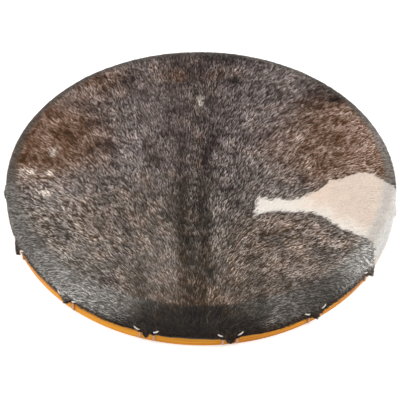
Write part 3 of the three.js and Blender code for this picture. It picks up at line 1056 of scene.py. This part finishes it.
# The stitch from the top of a leg to the back of the tuft: radius, distance from the tuft and height.
STITCH = [
    (on_wood + 0.0004, 0.0086, 0.0193),
    (on_hide, 0.0098, 0.0208),
    (on_hide + 0.0001, 0.0120, 0.0221),
    (on_hide - 0.0004, 0.0138, 0.0231),
    (behind_hide - 0.0004, 0.0156, 0.0239),
    (behind_hide - 0.0006, 0.0140, 0.0246),
    (behind_hide, 0.0090, 0.0243),
]


def rim_leg(side):
    """Half of a thong's way over the rim: each point with the direction that the thong's flat faces."""
    half = side * LEG_SPACING / 2
    bend = (SEAT_GAP + thong_half) * math.sqrt(0.5)
    return [
        (Vector((hoop_inner, half, thong_below)), -UP),
        (Vector((HOOP_RADIUS, half, thong_below)), -UP),
        (Vector((HOOP_RADIUS + bend, half, NOTCH_DEPTH - bend)), OUT - UP),
        (Vector((on_wood, half, NOTCH_DEPTH)), OUT),
        (Vector((on_wood, half, LEG_TOP)), OUT),
        *[(Vector((radius, side * aside, height)), OUT) for radius, aside, height in STITCH],
    ]


def way_between(start, end):
    """The direction from one point to another, and the level direction across it."""
    leg = (end - start).normalized()
    return leg, leg.cross(UP).normalized()


def span(start, end, first_turn, last_turn, count):
    """Points of a free span between two ends, the flat of the thong turning as it goes, in degrees."""
    sideways = way_between(start, end)[1]
    points = []
    for share in np.linspace(0, 1, count + 2)[1:-1].tolist():
        turn = math.radians(first_turn + (last_turn - first_turn) * share)
        points.append((start.lerp(end, share), math.cos(turn) * UP + math.sin(turn) * sideways))
    return points


def thong_route():
    """The way of a thong at azimuth 0, from the knot on its upper leg round the ring and the rim to its
    tail."""
    wrap = []
    for turn in WRAP_TURNS:
        away = Vector((math.cos(turn), 0, math.sin(turn)))
        across = RING_LEG_SPACING / 2 * (1 - 2 * (turn - math.pi / 2) / math.pi)
        wrap.append((Vector((RING_RADIUS, across, RING_HEIGHT)) + wrap_radius * away, away))
    near_leg = rim_leg(-1)
    far_leg = rim_leg(1)[::-1]
    behind_tuft = (Vector((near_leg[-1][0].x, 0, HOLE_HEIGHT)), OUT)
    ring_end = wrap[0][0]
    hoop_end = far_leg[-1][0]
    leg, sideways = way_between(ring_end, hoop_end)
    knot = ring_end.lerp(hoop_end, (KNOT_PLACE - RING_RADIUS) / (hoop_inner - RING_RADIUS))
    start = knot + KNOT_START * KNOT_LENGTH * leg
    turns = []
    for share in np.linspace(0, 1, int(KNOT_TURNS * KNOT_STEPS) + 1).tolist():
        turn = 2 * math.pi * KNOT_TURNS * share
        away = math.cos(turn) * UP + math.sin(turn) * sideways
        turns.append((knot + (0.5 - share) * KNOT_LENGTH * leg + KNOT_RADIUS * away, away))
    knot_end = turns[-1][0]
    tail = knot_end + TAIL_LENGTH * (0.5 * leg - 0.7 * sideways + 0.1 * UP)
    return [
        (start, UP),
        *span(start, ring_end, 0, 360, 5),
        *wrap,
        *span(wrap[-1][0], near_leg[0][0], 180, 900, 16),
        *near_leg,
        behind_tuft,
        *far_leg,
        *span(hoop_end, turns[0][0], -180, 720, 14),
        *turns,
        (knot_end.lerp(tail, 0.4), UP),
        (tail, UP),
    ]


def smoothed(points, spacing):
    """A smooth way through rows of numbers that start with a place, in steps of about a spacing."""
    points = np.vstack([2 * points[0] - points[1], points, 2 * points[-1] - points[-2]])
    steps = np.linalg.norm(np.diff(points[:, :3], axis=0), axis=1)
    times = np.concatenate([[0], np.cumsum(steps ** 0.5)])

    def between(first, second, start, end, now):
        return ((end - now) * first + (now - start) * second) / (end - start)

    way = []
    for i in range(1, len(points) - 2):
        near = points[i - 1:i + 3]
        when = times[i - 1:i + 3]
        count = max(2, math.ceil(np.linalg.norm(near[2, :3] - near[1, :3]) / spacing))
        for now in np.linspace(when[1], when[2], count, endpoint=False):
            pairs = [between(near[j], near[j + 1], when[j], when[j + 1], now) for j in range(3)]
            triples = [between(pairs[j], pairs[j + 1], when[j], when[j + 2], now) for j in range(2)]
            way.append(between(triples[0], triples[1], when[1], when[2], now))
    way.append(points[-2])
    return np.array(way)


def make_thong():
    """One thong at azimuth 0, a flat strip swept along its way."""
    rows = smoothed(np.array([(*place, *flat) for place, flat in thong_route()]), THONG_STEP)
    way = rows[:, :3]
    ahead = unit(np.gradient(way, axis=0))
    facing = unit(rows[:, 3:] - (rows[:, 3:] * ahead).sum(axis=1)[:, None] * ahead)
    across = np.cross(ahead, facing)
    walked = np.concatenate([[0], np.cumsum(np.linalg.norm(np.diff(way, axis=0), axis=1))])
    wander = np.array([noise.noise((BREADTH_WANDER_SCALE * w, 5, 0)) for w in walked])
    drawn = np.interp(way[:, 2], (LEG_TOP, STITCH_HEIGHT), (1, STITCH_SHARE))
    breadth = (1 + BREADTH_WANDER * wander) * np.where(way[:, 0] > HOOP_RADIUS, drawn, 1)
    turn = 2 * math.pi * np.arange(THONG_SIDES) / THONG_SIDES
    half_widths = breadth[:, None] * np.cos(turn) * THONG_WIDTH / 2
    rings = way[:, None, :] + across[:, None, :] * half_widths[:, :, None]
    rings = rings + facing[:, None, :] * (np.sin(turn) * thong_half)[None, :, None]
    faces = []
    for i in range(len(way) - 1):
        for j in range(THONG_SIDES):
            step = (j + 1) % THONG_SIDES
            here = i * THONG_SIDES
            faces.append((here + j, here + step, here + THONG_SIDES + step, here + THONG_SIDES + j))
    last = (len(way) - 1) * THONG_SIDES
    faces.append(tuple(range(THONG_SIDES))[::-1])
    faces.append(tuple(range(last, last + THONG_SIDES)))
    mesh = bpy.data.meshes.new("thong")
    mesh.from_pydata(rings.reshape(-1, 3).tolist(), [], faces)
    run = np.repeat(walked, THONG_SIDES)
    face = np.tile(np.sin(turn), len(way)) * thong_half
    edge = np.tile(np.cos(turn), len(way)) * THONG_WIDTH / 2
    note(mesh, "strip_place", np.column_stack([run, face, edge]))
    thong = add_object("thong", mesh)
    edit(thong)
    face_outwards()
    bpy.ops.object.shade_smooth_by_angle(angle=THONG_SMOOTHING)
    return thong


FIBRE_SCALE = 90.0
FIBRE_WIDTH_SCALE = 1400.0
BARE_LEG_DEPTH = 0.004
DULL_RAWHIDE = paint(214, 186, 154)
PALE_RAWHIDE = paint(236, 222, 202)
LOW_LEG_RAWHIDE = paint(196, 138, 100)
STITCH_RAWHIDE = paint(226, 222, 216)
RAWHIDE_FIBRE = paint(168, 126, 92)


def rawhide_finish():
    """Dried rawhide: creamy, browner where it lies on the wood, with fibres along the strip."""
    material, shade = new_finish("twisted_rawhide")
    place = shade.node("TexCoord", {}, {}, "Object")
    x, y, z = place.parts()
    run, face, edge = shade.attribute("strip_place").parts()
    fibre = shade.vector(run * FIBRE_SCALE, face * FIBRE_WIDTH_SCALE, edge * FIBRE_WIDTH_SCALE)
    fibre = fibre.noise(1.0, 3.0, 0.6)
    cloud = place.noise(60.0, 3.0, 0.6)
    bare_leg = (x * x + y * y).root().step(HOOP_RADIUS - BARE_LEG_DEPTH, HOOP_RADIUS)
    bare_leg = bare_leg * z.step(0.0175, 0.0145)
    colour = cloud.step(0.3, 0.7).mix(DULL_RAWHIDE, PALE_RAWHIDE)
    # Browner low on the leg, where it lies on the wood.
    colour = (bare_leg * 0.85).mix(colour, LOW_LEG_RAWHIDE)
    colour = (z.step(0.0185, 0.0205) * 0.8).mix(colour, STITCH_RAWHIDE)
    colour = (fibre.step(0.5, 0.72) * 0.5).mix(colour, RAWHIDE_FIBRE)
    bump = shade.bump(fibre, 0.35, 0.0003)
    shade.surface({"Base Color": colour, "Roughness": 0.42 + 0.2 * cloud, "Normal": bump})
    return material


thong = make_thong()
rawhide = rawhide_finish()
for node, azimuth in zip(THONG_NODES, lacing_azimuths):
    lace = add_object(node.replace("thong", "lace"), thong.data.copy())
    lace.data.transform(Matrix.Rotation(azimuth, 4, "Z"))
    dress(lace, rawhide)
    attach(lace, "root")
    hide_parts(node)
bpy.data.objects.remove(thong)

# Grip ring
# A small ring bent from one stick of the same wood, rounded and worn by the hand. All the thongs hold it
# in the middle of the open back.
RING_STEPS = 128
RING_SIDES = 24
RING_WEAR = 0.03
RING_WEAR_ROUND = 3
RING_WEAR_UP = 90
RING_STAINS = (paint(214, 150, 78), paint(190, 122, 54), paint(140, 80, 32))
select()
bpy.ops.mesh.primitive_torus_add(
    location=(0, 0, RING_HEIGHT),
    major_segments=RING_STEPS,
    minor_segments=RING_SIDES,
    major_radius=RING_RADIUS,
    minor_radius=RING_SECTION,
)
ring = bpy.context.object
ring.name = "bent_grip_ring"
bpy.ops.object.transform_apply()
for point in ring.data.vertices:
    turn = math.atan2(point.co.y, point.co.x)
    round_x, round_y = math.cos(turn), math.sin(turn)
    middle = Vector((RING_RADIUS * round_x, RING_RADIUS * round_y, RING_HEIGHT))
    worn = noise.noise((RING_WEAR_ROUND * round_x, RING_WEAR_ROUND * round_y, RING_WEAR_UP * point.co.z))
    point.co = middle + (point.co - middle) * (1 - RING_WEAR * (1 + worn))
bpy.ops.object.shade_smooth()
dress(ring, bent_wood("worn_ring_wood", RING_RADIUS, *RING_STAINS))
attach(ring, "root")
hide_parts("grip_ring")

# Floor and light
# A plain white floor in a white room, with a soft box on each side above the drum. The floor can't be
# seen from below.
FLOOR_SIZE = 12
FLOOR_DROP = 0.0005
FLOOR_COLOUR = (0.8, 0.8, 0.8, 1)
FLOOR_GLOW = 0.45
WHITE = (1, 1, 1, 1)
ROOM_LIGHT = 0.75


def rays(shade, *kinds):
    """1 or more for light of these kinds."""
    outputs = shade.node("LightPath").link.node.outputs
    found = [Shade(shade.tree, outputs[kind]) for kind in kinds]
    return sum(found[1:], found[0])


select()
bpy.ops.mesh.primitive_plane_add(size=FLOOR_SIZE, location=(0, 0, -FLOOR_DROP))
floor = bpy.context.object
floor.name = "floor"
white, shade = new_finish("white_floor")
seen = rays(shade, "Is Camera Ray", "Is Glossy Ray", "Is Transmission Ray")
matt = shade.node("BsdfDiffuse", {}, {"Color": FLOOR_COLOUR})
glow = shade.node("Emission", {}, {"Color": WHITE, "Strength": seen.step(0, 1) * FLOOR_GLOW})
lit = shade.node("AddShader", {}, {0: matt, 1: glow})
underneath = shade.node("NewGeometry", {}, {}, "Backfacing")
clear = shade.node("BsdfTransparent")
one_sided = shade.node("MixShader", {}, {0: underneath, 1: lit, 2: clear})
shade.node("OutputMaterial", {}, {"Surface": one_sided})
dress(floor, white)

world = bpy.data.worlds.new("studio")
bpy.context.scene.world = world
world.use_nodes = True
world.node_tree.nodes.clear()
room = Shade(world.node_tree)
brightness = ROOM_LIGHT + (1 - ROOM_LIGHT) * rays(room, "Is Camera Ray")
background = room.node("Background", {}, {"Color": WHITE, "Strength": brightness})
room.node("OutputWorld", {}, {"Surface": background})


def add_lamp(name, place, size, power):
    """A square soft box that faces the drum."""
    lamp = bpy.data.lights.new(name, "AREA")
    lamp.size = size
    lamp.energy = power
    box = add_object(name, lamp)
    box.location = place
    box.rotation_euler = Vector(place).to_track_quat("Z", "Y").to_euler()


add_lamp("left_box", (-1.7, -0.1, 1.9), 1.6, 42)
add_lamp("right_box", (1.7, -0.3, 1.8), 1.6, 34)
